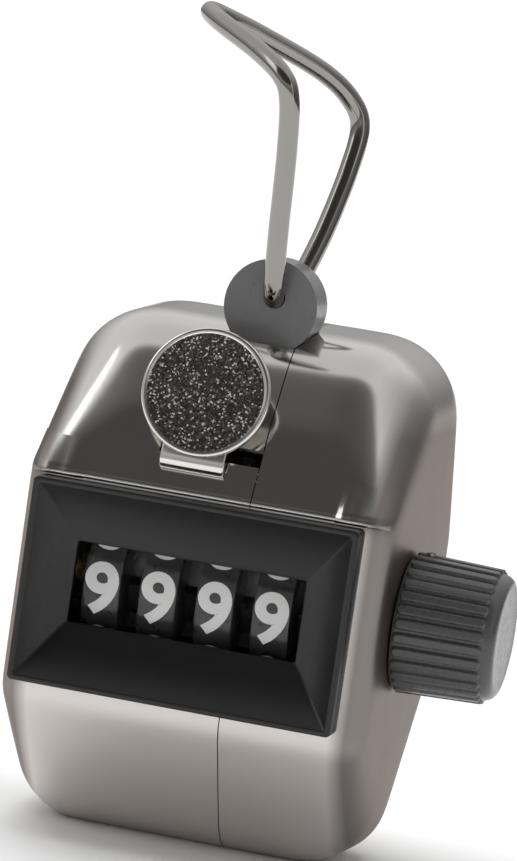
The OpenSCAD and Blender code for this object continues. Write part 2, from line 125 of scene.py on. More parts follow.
def chrome_case():
    """Mirror plate on the upper half, satin below the window with a lighter base colour that is painted light,
    and satin sides and front edges with painted shade: a darker base colour and a dimmed specular tint.
    """
    m, t, p = material("case_chrome", (0.60, 0.585, 0.565), 1.0, 0.1)
    co = t.nodes.new("ShaderNodeTexCoord")
    xyz = t.nodes.new("ShaderNodeSeparateXYZ")
    t.links.new(co.outputs["Object"], xyz.inputs[0])
    nz = noise(t, 260, 4, (1, 1, 1))
    streak = noise(t, 900, 3, (1, 1, 0.04))
    # Mask below the window: it sets the real satin roughness there and also the painted lighter base colour
    low = t.nodes.new("ShaderNodeMapRange")
    low.inputs["From Min"].default_value = 30 * MM
    low.inputs["From Max"].default_value = 14 * MM
    low.inputs["To Min"].default_value = 0.0
    low.inputs["To Max"].default_value = 1.0
    t.links.new(xyz.outputs["Z"], low.inputs["Value"])
    # Mask of the sides and front edges: it makes them satin and carries the painted shade in their colour and
    # specular tint
    side = t.nodes.new("ShaderNodeMapRange")
    side.inputs["From Min"].default_value = 14.7 * MM
    side.inputs["From Max"].default_value = 16.2 * MM
    # The painted side shade fades out above 42 to 48 mm height, so the upper panel stays plain chrome
    below = t.nodes.new("ShaderNodeMapRange")
    below.inputs["From Min"].default_value = 48 * MM
    below.inputs["From Max"].default_value = 42 * MM
    t.links.new(xyz.outputs["Z"], below.inputs["Value"])
    ax = t.nodes.new("ShaderNodeMath")
    ax.operation = "ABSOLUTE"
    off = t.nodes.new("ShaderNodeMath")
    off.operation = "SUBTRACT"
    off.inputs[1].default_value = CASE_MID_X * MM
    t.links.new(xyz.outputs["X"], off.inputs[0])
    t.links.new(off.outputs[0], ax.inputs[0])
    t.links.new(ax.outputs[0], side.inputs["Value"])
    t.links.new(below.outputs[0], side.inputs["To Max"])
    satin = t.nodes.new("ShaderNodeMath")
    satin.operation = "MAXIMUM"
    t.links.new(low.outputs[0], satin.inputs[0])
    t.links.new(side.outputs[0], satin.inputs[1])
    r = t.nodes.new("ShaderNodeMapRange")
    r.inputs["To Min"].default_value = 0.085
    r.inputs["To Max"].default_value = 0.36
    t.links.new(satin.outputs[0], r.inputs["Value"])
    add = t.nodes.new("ShaderNodeMath")
    add.operation = "MULTIPLY_ADD"
    add.inputs[1].default_value = 0.06
    t.links.new(nz.outputs["Fac"], add.inputs[0])
    t.links.new(r.outputs[0], add.inputs[2])
    t.links.new(add.outputs[0], p.inputs["Roughness"])
    bump(t, p, streak.outputs["Fac"], 0.00001, 0.22)
    # Painted light: the satin part below the window gets a lighter base colour than the mirror plate above
    painted_light_below = tint(t, low.outputs[0], (0.60, 0.585, 0.565), (0.72, 0.675, 0.645))
    # Painted shade: the sides and front edges get a darker base colour than the rest of the same metal
    painted_side_shade = tint(t, side.outputs[0], None, (0.26, 0.235, 0.222))
    t.links.new(painted_light_below.outputs[2], painted_side_shade.inputs[6])
    t.links.new(painted_side_shade.outputs[2], p.inputs["Base Color"])
    # Painted shade: the specular tint is dimmed on the sides and front edges, so their reflections come out
    # darker
    edge = tint(t, side.outputs[0], (1, 1, 1), (0.68, 0.63, 0.60))
    t.links.new(edge.outputs[2], p.inputs["Specular Tint"])
    return m


def tint(tree, amount, first, second):
    """Colour that goes from first to second as amount goes from 0 to 1."""
    mix = tree.nodes.new("ShaderNodeMix")
    mix.data_type = "RGBA"
    if first:
        mix.inputs[6].default_value = (*first, 1)
    mix.inputs[7].default_value = (*second, 1)
    tree.links.new(amount, mix.inputs[0])
    return mix


def stippled():
    """Dark grained face of the thumb pad, with painted glints: bright points in the base colour where the grain
    would catch the light.
    """
    m, t, p = material("lever_nickel", (0.06, 0.055, 0.052), 1.0, 0.42)
    co = t.nodes.new("ShaderNodeTexCoord")
    v = t.nodes.new("ShaderNodeTexVoronoi")
    v.inputs["Scale"].default_value = 6500
    t.links.new(co.outputs["Object"], v.inputs["Vector"])
    grey = t.nodes.new("ShaderNodeSeparateColor")
    t.links.new(v.outputs["Color"], grey.inputs[0])
    # The darker stops are the grain's own tone; the near-white top stop is painted glints
    c = ramp(t, grey.outputs[0], [(0.0, (0.04, 0.036, 0.034)), (0.70, (0.10, 0.092, 0.088)),
                                  (0.88, (0.2, 0.19, 0.18)), (0.96, (0.95, 0.93, 0.91))])
    t.links.new(c.outputs["Color"], p.inputs["Base Color"])
    bump(t, p, grey.outputs[1], 0.00006, 0.8)
    return m


def bright_nickel(name, colour, rough):
    m, t, p = material(name, colour, 1.0, rough)
    varied_rough(t, p, 900, rough * 0.8, rough * 1.3)
    return m


def plastic(name, colour, rough, grain_scale, grain, coat=0.0):
    m, t, p = material(name, colour, 0.0, rough, coat)
    nz = varied_rough(t, p, grain_scale, rough * 0.85, rough * 1.2)
    bump(t, p, nz.outputs["Fac"], grain, 0.5)
    return m


def clear():
    m, t, p = material("clear_lens", (1, 1, 1), 0.0, 0.02)
    p.inputs["Transmission Weight"].default_value = 1.0
    p.inputs["IOR"].default_value = 1.02
    nz = noise(t, 400, 2)
    r = ramp(t, nz.outputs["Fac"], [(0.3, 0.01), (0.7, 0.03)])
    t.links.new(r.outputs["Color"], p.inputs["Roughness"])
    return m


MATS = {
    "case_chrome": chrome_case(),
    "black_plastic": plastic("black_plastic", (0.007, 0.007, 0.0075), 0.34, 2600, 0.00001),
    "clear_lens": clear(),
    "plated_steel": bright_nickel("plated_steel", (0.62, 0.62, 0.60), 0.3),
    "screw_steel": bright_nickel("screw_steel", (0.5, 0.5, 0.5), 0.35),
    "brass_bush": bright_nickel("brass_bush", (0.72, 0.55, 0.27), 0.25),
    "spring_steel": bright_nickel("spring_steel", (0.36, 0.36, 0.37), 0.3),
    "knob_plastic": plastic("knob_plastic", (0.075, 0.075, 0.075), 0.27, 1500, 0.000006, 0.1),
    "lever_nickel": stippled(),
    "boss_plastic": plastic("boss_plastic", (0.14, 0.14, 0.14), 0.3, 1200, 0.00002, 0.2),
    "ring_nickel": bright_nickel("ring_nickel", (0.30, 0.29, 0.275), 0.10),
    "wheel_plastic": plastic("wheel_plastic", (0.03, 0.03, 0.032), 0.3, 1500, 0.000008, 0.3),
}
RIM = bright_nickel("lever_rim", (0.74, 0.71, 0.68), 0.14)
WHITE = plastic("digit_white", (0.86, 0.86, 0.85), 0.45, 2500, 0.000004)


# ---------------------------------------------------------------- mesh helpers
def add_object(name, verts_mm, faces, mats, smooth=True):
    me = bpy.data.meshes.new(name)
    me.from_pydata([tuple(v) for v in np.asarray(verts_mm) * MM], [], faces)
    for m in mats:
        me.materials.append(m)
    if smooth:
        me.polygons.foreach_set("use_smooth", [True] * len(me.polygons))
    ob = bpy.data.objects.new(name, me)
    bpy.context.scene.collection.objects.link(ob)
    return ob


def grid_faces(n, m, wrap_n=False, wrap_m=False):
    """Quads of an n by m grid of vertices."""
    out = []
    for i in range(n if wrap_n else n - 1):
        for j in range(m if wrap_m else m - 1):
            row, below = i * m, (i + 1) % n * m
            k = (j + 1) % m
            out.append((row + j, row + k, below + k, below + j))
    return out


def fix_normals(ob):
    bm = bmesh.new()
    bm.from_mesh(ob.data)
    bmesh.ops.recalc_face_normals(bm, faces=bm.faces)
    bm.to_mesh(ob.data)
    bm.free()


def bevel(ob, width_mm, segments=2, angle=32):
    b = ob.modifiers.new("bevel", "BEVEL")
    b.width = width_mm * MM
    b.segments = segments
    b.limit_method = "ANGLE"
    b.angle_limit = math.radians(angle)
    b.harden_normals = False
    ob.data.polygons.foreach_set("use_smooth", [True] * len(ob.data.polygons))
    w = ob.modifiers.new("normals", "WEIGHTED_NORMAL")
    w.keep_sharp = True
    return ob


def apply_modifiers(ob):
    dg = bpy.context.evaluated_depsgraph_get()
    me = bpy.data.meshes.new_from_object(ob.evaluated_get(dg))
    old = ob.data
    ob.modifiers.clear()
    ob.data = me
    bpy.data.meshes.remove(old)


def box_object(name, low, high):
    x0, y0, z0 = low
    x1, y1, z1 = high
    v = [(x0, y0, z0), (x1, y0, z0), (x1, y1, z0), (x0, y1, z0),
         (x0, y0, z1), (x1, y0, z1), (x1, y1, z1), (x0, y1, z1)]
    f = [(0, 3, 2, 1), (4, 5, 6, 7), (0, 1, 5, 4), (1, 2, 6, 5), (2, 3, 7, 6), (3, 0, 4, 7)]
    return add_object(name, v, f, [], smooth=False)


def lathe(name, profile, axis_at, axis, mats, sides=128):
    """Turned form: profile rows are (distance along the axis, radius)."""
    pts = []
    for along, r in profile:
        for k in range(sides):
            a = 2 * math.pi * k / sides
            c, s = r * math.cos(a), r * math.sin(a)
            if axis == "x":
                pts.append((axis_at[0] + along, axis_at[1] + c, axis_at[2] + s))
            else:
                pts.append((axis_at[0] + c, axis_at[1] + along, axis_at[2] + s))
    ob = add_object(name, pts, grid_faces(len(profile), sides, False, True), mats)
    fix_normals(ob)
    return ob


def rounded_loop(x0, x1, z0, z1, r, y, steps=5):
    """Corner-rounded rectangle in the X-Z plane, as points at depth y."""
    out = []
    corners = ((x1 - r, z1 - r, 0), (x0 + r, z1 - r, 90), (x0 + r, z0 + r, 180), (x1 - r, z0 + r, 270))
    for cx, cz, start in corners:
        for k in range(steps):
            a = math.radians(start + 90 * k / (steps - 1))
            out.append((cx + r * math.cos(a), y, cz + r * math.sin(a)))
    return out


# ---------------------------------------------------------------- the case's skin
def hull_planes():
    """Outward planes of the hull that is stretched over the case's balls, as normals and distances."""
    bm = bmesh.new()
    for w, y, z, r in CASE_BALLS:
        for side in (-1, 1):
            at = Matrix.Translation((CASE_MID_X + side * (w - r), y, z))
            bmesh.ops.create_icosphere(bm, subdivisions=4, radius=r, matrix=at)
    made = bmesh.ops.convex_hull(bm, input=bm.verts)
    faces = [g for g in made["geom"] if isinstance(g, bmesh.types.BMFace)]
    n, h = [], []
    for f in faces:
        f.normal_update()
        nn = np.array(f.normal)
        hh = float(nn @ np.array(f.verts[0].co))
        if f.calc_area() > 1e-7:
            n.append(nn)
            h.append(hh)
    bm.free()
    n, h = np.array(n), np.array(h)
    mid = np.array([CASE_MID_X, 5, 24])
    flip = np.where(n @ mid > h, -1, 1)
    return n * flip[:, None], h * flip


PLANES = hull_planes()


def skin_distance(origin, d):
    """How far each ray from an inside origin runs before it meets the skin."""
    n, h = PLANES
    out = np.empty(len(d))
    room = h - n @ origin
    for i in range(0, len(d), 2000):
        dot = d[i:i + 2000] @ n.T
        t = np.where(dot > 1e-6, room / np.maximum(dot, 1e-6), 1e9)
        out[i:i + 2000] = t.min(1)
    return out


def skin_grid(n_round, n_across):
    """Closed skin: rings round the X axis, drawn to a pole in the middle of each side panel."""
    origin = np.array([CASE_MID_X, 4.0, 24.0])
    u = np.linspace(0, 2 * np.pi, n_round, endpoint=False)
    v = np.linspace(-np.pi / 2, np.pi / 2, n_across + 2)[1:-1]
    uu, vv = np.meshgrid(u, v)
    d = np.stack([np.sin(vv), np.cos(vv) * np.cos(uu), np.cos(vv) * np.sin(uu)], -1)
    t = skin_distance(origin, d.reshape(-1, 3)).reshape(d.shape[:2])
    for _ in range(5):
        t = (t + np.roll(t, 1, 1) + np.roll(t, -1, 1)) / 3
        t[1:-1] = (t[:-2] + t[1:-1] + t[2:]) / 3
    pts = origin + d * t[..., None]
    poles = [pts[0].mean(0), pts[-1].mean(0)]
    verts = np.concatenate([pts.reshape(-1, 3), poles])
    faces = grid_faces(n_across, n_round, False, True)
    base = n_across * n_round
    for j in range(n_round):
        k = (j + 1) % n_round
        faces.append((k, j, base))
        faces.append(((n_across - 1) * n_round + j, (n_across - 1) * n_round + k, base + 1))
    return verts, faces


def pierce(ob, cutters, marker):
    """Cuts openings into the closed skin and drops the walls that the cutters leave inside."""
    for c in cutters:
        c.data.materials.clear()
        c.data.materials.append(marker)
        fix_normals(c)
        b = ob.modifiers.new("cut", "BOOLEAN")
        b.operation = "DIFFERENCE"
        b.solver = "EXACT"
        b.material_mode = "TRANSFER"
        b.object = c
        bpy.context.view_layer.update()
        apply_modifiers(ob)
    names = [m.name if m else "" for m in ob.data.materials]
    bad = [i for i, n in enumerate(names) if n == marker.name]
    bm = bmesh.new()
    bm.from_mesh(ob.data)
    bmesh.ops.delete(bm, geom=[f for f in bm.faces if f.material_index in bad], context="FACES")
    bm.to_mesh(ob.data)
    bm.free()
    for c in cutters:
        bpy.data.objects.remove(c)


def skin_y(x, z):
    """Where the case's outer skin lies in front of the axis, for points at the given x and height."""
    o = np.stack([x, np.full(len(x), 4.0), np.full(len(x), z)], 1)
    d = np.tile([0.0, -1.0, 0.0], (len(x), 1))
    n, h = PLANES
    room = h[None, :] - o @ n.T
    dot = d @ n.T
    return 4.0 - np.where(dot > 1e-6, room / np.maximum(dot, 1e-6), 1e9).min(1)


BROW_STATIONS = 70


def brow_strip(x0, x1, name):
    """Lip over the bezel: the slope of the case runs on straight, then rolls over at its front edge."""
    x = np.linspace(x0, x1, BROW_STATIONS)
    top = AXIS_Z + 13.4
    y_top = skin_y(x, top)
    run = (y_top - skin_y(x, top + 0.8)) / 0.8
    # Heights above the wheel axis, and how far out of the straight slope each row lies
    profile = [(dz, 0.0) for dz in (13.4, 12.9, 12.4, 11.9, 11.4, 11.0, 10.7)]
    lip = [(10.5, 0.1), (10.36, 0.24), (10.2, 0.3), (10.0, 0.28), (9.86, 0.1), (9.8, -0.3), (9.8, -1.3),
           (9.8, -2.4)]
    fade = np.sin(np.clip((17.55 - np.abs(x - CASE_MID_X)) / 2.2, 0, 1) * np.pi / 2) ** 0.6
    rows = []
    for dz, out in profile + lip:
        z = AXIS_Z + dz
        skin = skin_y(x, z)
        line = y_top + run * (top - max(z, AXIS_Z + 10.7)) - out
        y = skin + np.minimum(line - skin, 0) * fade - 0.01
        rows.append(np.stack([x, y, np.full(BROW_STATIONS, z)], 1))
    pts = np.array(rows)
    faces = grid_faces(len(rows), BROW_STATIONS)
    ob = add_object(name, pts.reshape(-1, 3), faces, [MATS["case_chrome"]])
    fix_normals(ob)
    return ob


def join(name, obs):
    """One mesh out of several; the first one's materials lead."""
    dg = bpy.context.evaluated_depsgraph_get()
    bm = bmesh.new()
    mats = []
    for ob in obs:
        me = bpy.data.meshes.new_from_object(ob.evaluated_get(dg))
        remap = []
        for m in me.materials:
            if m not in mats:
                mats.append(m)
            remap.append(mats.index(m))
        for p in me.polygons:
            p.material_index = remap[p.material_index] if remap else 0
        bm.from_mesh(me)
        bpy.data.meshes.remove(me)
    me = bpy.data.meshes.new(name)
    bm.to_mesh(me)
    bm.free()
    for m in mats:
        me.materials.append(m)
    for ob in obs:
        bpy.data.objects.remove(ob)
    out = bpy.data.objects.new(name, me)
    bpy.context.scene.collection.objects.link(out)
    return out


SHELL_LEFT_X = -17.1
SHELL_RIGHT_X = 17.9


def cylinder_cutter(name, centre, axis, r, length):
    prof = [(-length / 2, 0.001), (-length / 2, r), (length / 2, r), (length / 2, 0.001)]
    ob = lathe(name, prof, centre, axis, [], 96)
    bm = bmesh.new()
    bm.from_mesh(ob.data)
    bmesh.ops.holes_fill(bm, edges=[e for e in bm.edges if e.is_boundary])
    bm.to_mesh(ob.data)
    bm.free()
    return ob


def make_shells():
    verts, faces = skin_grid(300, 170)
    skin = add_object("skin", verts, faces, [MATS["case_chrome"]])
    fix_normals(skin)
    # Openings for the bezel, the lever, the knob's shaft, the ring's boss and the case screw
    cutters = [
        box_object("bezel_cut", (-15.2, -15.5, AXIS_Z - 9.2), (15.2, -7.5, AXIS_Z + 9.1)),
        box_object("lever_cut", (-5.2, -14, AXIS_Z + 11.6), (SEAM_X - 0.02, -5, AXIS_Z + 14.9)),
        cylinder_cutter("shaft_cut", (18, AXIS_Y, AXIS_Z), "x", 3.0, 8),
        cylinder_cutter("boss_cut", (1.6, 1.2, AXIS_Z + 27.8), "y", 4.65, 4.7),
        cylinder_cutter("screw_cut", (-18, 17.6, AXIS_Z), "x", 1.1, 6)]
    pierce(skin, cutters, bpy.data.materials.new("cut_marker"))
    out = []
    halves = (("shell_left", -1, SHELL_LEFT_X, SEAM_X - SEAM_GAP),
              ("shell_right", 1, SEAM_X + SEAM_GAP, SHELL_RIGHT_X))
    for name, side, x0, x1 in halves:
        ob = bpy.data.objects.new(name + "_a", skin.data.copy())
        bpy.context.scene.collection.objects.link(ob)
        bm = bmesh.new()
        bm.from_mesh(ob.data)
        plane = (SEAM_X + side * SEAM_GAP) * MM
        bmesh.ops.bisect_plane(bm, geom=bm.verts[:] + bm.edges[:] + bm.faces[:], dist=1e-7,
                               plane_co=(plane, 0, 0), plane_no=(-side, 0, 0), clear_outer=True)
        low = [v for v in bm.verts if v.co.z < 0.0]
        for v in low:
            v.co.z = 0.0
        bmesh.ops.recalc_face_normals(bm, faces=bm.faces)
        bm.to_mesh(ob.data)
        bm.free()
        s = ob.modifiers.new("thick", "SOLIDIFY")
        s.thickness = WALL * MM
        s.offset = -1
        brow = brow_strip(x0, x1, name + "_b")
        whole = join(name, [ob, brow])
        whole.data.polygons.foreach_set("use_smooth", [True] * len(whole.data.polygons))
        e = whole.modifiers.new("edges", "EDGE_SPLIT")
        e.split_angle = math.radians(35)
        out.append(whole)
    bpy.data.objects.remove(skin)
    return out


shell_left, shell_right = make_shells()
for piece, node in ((shell_left, "left_shell"), (shell_right, "right_shell")):
    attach(piece, "case")
    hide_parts(node)


# ---------------------------------------------------------------- bezel
def make_bezel():
    x0, x1, z0, z1 = -15.8, 15.8, AXIS_Z - 9.8, AXIS_Z + 9.7
    front = FRONT_Y - 2.6
    wx0, wx1 = -11.6, 10.8
    wz0, wz1 = AXIS_Z - 4.0, AXIS_Z + 3.8
    rows = [
        rounded_loop(x0 + 0.25, x1 - 0.25, z0 + 0.25, z1 - 0.25, 0.4, -9.0),
        rounded_loop(x0 + 0.25, x1 - 0.25, z0 + 0.25, z1 - 0.25, 0.4, FRONT_Y + 0.02),
        rounded_loop(x0, x1, z0, z1, 0.5, FRONT_Y),
        rounded_loop(x0, x1, z0, z1, 0.5, front + 0.14),
        rounded_loop(x0 + 0.05, x1 - 0.05, z0 + 0.05, z1 - 0.05, 0.5, front + 0.05),
        rounded_loop(x0 + 0.14, x1 - 0.14, z0 + 0.14, z1 - 0.14, 0.45, front),
        rounded_loop(x0 + 0.5, x1 - 0.5, z0 + 0.5, z1 - 0.5, 0.35, front),
        rounded_loop(x0 + 0.58, x1 - 0.58, z0 + 0.58, z1 - 0.58, 0.3, front + 0.05),
        rounded_loop(x0 + 0.66, x1 - 0.66, z0 + 0.66, z1 - 0.66, 0.28, front + 0.2),
        rounded_loop(wx0 - 0.5, wx1 + 0.5, wz0 - 0.55, wz1 + 0.5, 0.25, -9.85),
        rounded_loop(wx0 - 0.12, wx1 + 0.12, wz0 - 0.12, wz1 + 0.12, 0.2, -9.75),
        rounded_loop(wx0, wx1, wz0, wz1, 0.2, -9.62),
        rounded_loop(wx0, wx1, wz0, wz1, 0.2, -8.95)]
    n = len(rows[0])
    pts = [p for row in rows for p in row]
    ob = add_object("bezel_frame", pts, grid_faces(len(rows), n, True, True), [MATS["black_plastic"]])
    fix_normals(ob)
    e = ob.modifiers.new("edges", "EDGE_SPLIT")
    e.split_angle = math.radians(40)
    return ob


bezel = make_bezel()
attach(bezel, "case")
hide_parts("bezel")


# ---------------------------------------------------------------- reset knob
def make_knob():
    along = np.unique(np.concatenate([np.linspace(0, 0.5, 9), np.linspace(0.5, 8.0, 40),
                                      np.linspace(8.0, KNOB_LEN, 30)]))
    per = 16
    ang = np.arange(KNOB_RIBS * per) / (KNOB_RIBS * per)
    rib_half, rib_h = 0.30, 0.40
    rib_from, rib_to = 0.25, 8.65
    rows = []
    for s in along:
        body = KNOB_R - 0.35 * s / KNOB_LEN - rib_h
        round_end = np.clip((s - 8.6) / 1.2, 0, 1)
        body -= 1.0 * (1 - math.sqrt(max(0.0, 1 - round_end ** 2)))
        body -= 0.25 * max(0.0, 0.25 - s)
        pitch = 2 * math.pi * body / KNOB_RIBS
        c = ((ang * KNOB_RIBS) % 1 - 0.5) * pitch
        half = rib_half * pitch / 0.9
        cap = half * 0.9
        mid_low, mid_high = rib_from + cap, rib_to - cap
        ds = max(0.0, s - mid_high, mid_low - s)
        dist = np.sqrt(np.maximum(0, np.abs(c) - half + cap) ** 2 + ds ** 2) - cap
        k = np.clip(0.5 - dist / 0.16, 0, 1)
        r = body + rib_h * k * k * (3 - 2 * k)
        a = ang * 2 * math.pi
        x = np.full(len(a), KNOB_X + s)
        rows.append(np.stack([x, AXIS_Y + r * np.cos(a), AXIS_Z + r * np.sin(a)], 1))
    last = rows[-1]
    centre = np.array([KNOB_X + KNOB_LEN, AXIS_Y, AXIS_Z])
    for f in (0.985, 0.93, 0.6, 0.2):
        row = centre + (last - centre) * f
        row[:, 0] = KNOB_X + KNOB_LEN - (0.0 if f > 0.95 else 0.05)
        rows.append(row)
    first = rows[0]
    start = np.array([KNOB_X, AXIS_Y, AXIS_Z])
    rows = [start + (first - start) * f for f in (0.3, 0.9)] + rows
    pts = np.array(rows)
    n, m = pts.shape[:2]
    faces = grid_faces(n, m, False, True)
    faces.append(tuple(range(m)))
    faces.append(tuple((n - 1) * m + j for j in range(m - 1, -1, -1)))
    ob = add_object("knob_grip", pts.reshape(-1, 3), faces, [MATS["knob_plastic"]])
    fix_normals(ob)
    return ob


knob = make_knob()
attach(knob, "reset_shaft")
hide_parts("reset_knob")


# ---------------------------------------------------------------- number wheels and digits
def digit_mesh(text):
    cu = bpy.data.curves.new("digit", "FONT")
    cu.body = text
    cu.align_x = "CENTER"
    cu.size = 1.0
    cu.offset = 0.03
    cu.resolution_u = 6
    ob = bpy.data.objects.new("digit", cu)
    bpy.context.scene.collection.objects.link(ob)
    dg = bpy.context.evaluated_depsgraph_get()
    me = bpy.data.meshes.new_from_object(ob.evaluated_get(dg))
    bpy.data.objects.remove(ob)
    bm = bmesh.new()
    bm.from_mesh(me)
    bpy.data.meshes.remove(me)
    for k in range(1, 8):
        z = k / 8
        bmesh.ops.bisect_plane(bm, geom=bm.verts[:] + bm.edges[:] + bm.faces[:], dist=1e-5,
                               plane_co=(0, z * 0.74, 0), plane_no=(0, 1, 0))
    co = np.array([v.co for v in bm.verts])
    faces = [[v.index for v in f.verts] for f in bm.faces]
    edges = [[v.index for v in e.verts] for e in bm.edges if e.is_boundary]
    bm.free()
    return co, faces, edges


DIGITS = [digit_mesh(str(d)) for d in range(10)]
TALL = max(c[:, 1].max() for c, _, _ in DIGITS)


def make_digits(x_mid, name):
    """Ten raised printed digits round a wheel, with the 9 in the window."""
    verts, faces = [], []
    for d, (co, fs, es) in enumerate(DIGITS):
        height, width = 4.95, 3.35
        x = (co[:, 0] - (co[:, 0].max() + co[:, 0].min()) / 2)
        x = x * width / max(0.42, x.max() - x.min()) if d != 1 else x * width / 0.55
        up = (co[:, 1] / TALL - 0.5) * height
        turn = math.radians(36) * (9 - d) - math.radians(1.7)
        base = sum(len(v) for v in verts)
        for r in (WHEEL_R - 0.015, WHEEL_R - 0.2):
            a = up / WHEEL_R + turn
            verts.append(np.stack([x_mid + x, AXIS_Y - r * np.cos(a), AXIS_Z + r * np.sin(a)], 1))
        n = len(co)
        faces += [tuple(base + i for i in f) for f in fs]
        faces += [(base + a, base + b, base + n + b, base + n + a) for a, b in es]
    ob = add_object(name, np.concatenate(verts), faces, [WHITE], smooth=False)
    fix_normals(ob)
    return ob


def make_wheel(x_mid, name):
    """Drum with ten slightly raised digit plates, and a toothed wheel on its right side."""
    half = WHEEL_W / 2
    per = 12
    n = 10 * per
    rows = []
    rim = ((-half, 1.2), (-half, 0.3), (-half + 0.08, 0.12), (-half + 0.2, 0.06), (half - 0.2, 0.06),
           (half - 0.08, 0.12), (half, 0.3), (half, 1.2))
    for x, drop in rim:
        ring = []
        for k in range(n):
            f = (k % per) / per
            gap = 0.16 if (f < 0.05 or f > 0.93) else 0.0
            r = WHEEL_R - drop - gap
            a = 2 * math.pi * (k / n) + math.radians(18)
            ring.append((x_mid + x, AXIS_Y - r * math.cos(a), AXIS_Z + r * math.sin(a)))
        rows.append(ring)
    hub = []
    web = ((half, 6.6), (half, 2.05), (-half, 2.05), (-half, 6.9), (-half + 1.2, 7.1), (-half + 1.2, 7.3))
    for x, r in web:
        hub.append([(x_mid + x, AXIS_Y - r * math.cos(2 * math.pi * k / n + math.radians(18)),
                     AXIS_Z + r * math.sin(2 * math.pi * k / n + math.radians(18))) for k in range(n)])
    pts = rows + hub
    flat = [p for r in pts for p in r]
    drum = add_object(name + "_drum", flat, grid_faces(len(pts), n, True, True), [MATS["wheel_plastic"]])
    fix_normals(drum)
    teeth = []
    for x, cut in ((half - 0.02, 0), (half + 1.4, 0), (half + 1.5, 0.1)):
        ring = []
        for k in range(60):
            f = (k % 6) / 6
            r = 7.2 - 1.3 * min(1, f * 1.25) - cut
            a = 2 * math.pi * k / 60
            ring.append((x_mid + x, AXIS_Y + r * math.cos(a), AXIS_Z + r * math.sin(a)))
        teeth.append(ring)
    teeth.append([(x_mid + half + 1.5, AXIS_Y + 2.1 * math.cos(2 * math.pi * k / 60),
                   AXIS_Z + 2.1 * math.sin(2 * math.pi * k / 60)) for k in range(60)])
    flat = [p for r in teeth for p in r]
    gear = add_object(name + "_gear", flat, grid_faces(len(teeth), 60, False, True), [MATS["wheel_plastic"]])
    fix_normals(gear)
    ob = join(name, [drum, gear])
    e = ob.modifiers.new("edges", "EDGE_SPLIT")
    e.split_angle = math.radians(38)
    return ob


for x_mid, place in zip(WHEEL_X, ("thousands", "hundreds", "tens", "units")):
    body = "wheel_" + place + "_body"
    wheel = make_wheel(x_mid, "drum_" + place)
    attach(wheel, body)
    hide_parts("wheel_" + place)
    digits = make_digits(x_mid, "digits_" + place)
    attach(digits, body)


# ---------------------------------------------------------------- thumb lever
def make_pad():
    """Round stippled pad with a bright rolled rim."""
    lean = math.radians(14)
    r = 6.2
    cy = -9.9 + (r - 0.4) * math.sin(lean)
    cz = AXIS_Z + 13.9 + (r - 0.4) * math.cos(lean)
    face = [(-0.26, 0.02), (-0.27, 2.0), (-0.29, 4.0), (-0.31, 5.35), (-0.335, 5.62)]
    rim = [(-0.335, 5.62), (-0.39, 5.78), (-0.4, 5.9), (-0.37, 6.05), (-0.25, 6.17), (0, 6.2), (0.25, 6.17),
           (0.37, 6.05), (0.4, 5.9), (0.36, 5.6)]
    back = [(0.36, 5.6), (0.34, 3.0), (0.34, 0.02)]
    parts = []
    for prof, m in ((face, MATS["lever_nickel"]), (rim, RIM), (back, RIM)):
        parts.append(lathe("pad_part", prof, (0, 0, 0), "y", [m], 128))
    pad = join("lever_pad", parts)
    turn = Matrix.Translation(Vector((-1.6, cy, cz)) * MM) @ Matrix.Rotation(-lean, 4, "X")
    pad.data.transform(turn)
    fix_normals(pad)
    pad.data.polygons.foreach_set("use_smooth", [True] * len(pad.data.polygons))
    return pad


pad = make_pad()
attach(pad, "lever")


def make_lever_arm():
    """The lever's neck and yoke: the CAD lever without its round pad, which has a piece of its own."""
    ob = bpy.data.objects.new("lever_arm", nodes["thumb_lever"].data.copy())
    bpy.context.scene.collection.objects.link(ob)
    ob.data.materials.clear()
    ob.data.materials.append(RIM)
    bm = bmesh.new()
    bm.from_mesh(ob.data)
    bmesh.ops.remove_doubles(bm, verts=bm.verts, dist=1e-6)
    gone = [v for v in bm.verts if v.co.y < -6.2 * MM]
    bmesh.ops.delete(bm, geom=gone, context="VERTS")
    bm.to_mesh(ob.data)
    bm.free()
    return bevel(ob, 0.1, 3, 40)


def make_neck():
    """Neck of the lever: a strip that comes down from the pad, curls over and goes in through the slot."""
    centre = [(-9.3, 15.0), (-9.6, 14.2), (-9.86, 13.5), (-9.98, 12.95), (-9.96, 12.66), (-9.82, 12.44),
              (-9.58, 12.32), (-9.3, 12.3), (-8.2, 12.3), (-6.6, 12.3), (-5.2, 12.3)]
    p = np.array(centre)
    t = np.gradient(p, axis=0)
    t /= np.linalg.norm(t, axis=1)[:, None]
    nrm = np.stack([t[:, 1], -t[:, 0]], 1)
    half, thick, r = 3.12, 0.41, 0.16
    x0, x1 = -1.6 - half, -1.6 + half
    ring = [(x0 + r, -thick), (x1 - r, -thick), (x1 - 0.05, -thick + 0.05), (x1, -thick + r), (x1, thick - r),
            (x1 - 0.05, thick - 0.05), (x1 - r, thick), (x0 + r, thick), (x0 + 0.05, thick - 0.05),
            (x0, thick - r), (x0, -thick + r), (x0 + 0.05, -thick + 0.05)]
    rows = [[(x, q[0] + k[0] * o, AXIS_Z + q[1] + k[1] * o) for x, o in ring] for q, k in zip(p, nrm)]
    faces = grid_faces(len(rows), len(ring), False, True)
    faces.append(tuple(range(len(ring))))
    faces.append(tuple((len(rows) - 1) * len(ring) + j for j in range(len(ring) - 1, -1, -1)))
    ob = add_object("lever_neck", [v for row in rows for v in row], faces, [RIM])
    fix_normals(ob)
    e = ob.modifiers.new("edges", "EDGE_SPLIT")
    e.split_angle = math.radians(50)
    return ob


neck = make_neck()
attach(neck, "lever")
arm = make_lever_arm()
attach(arm, "lever")
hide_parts("thumb_lever")


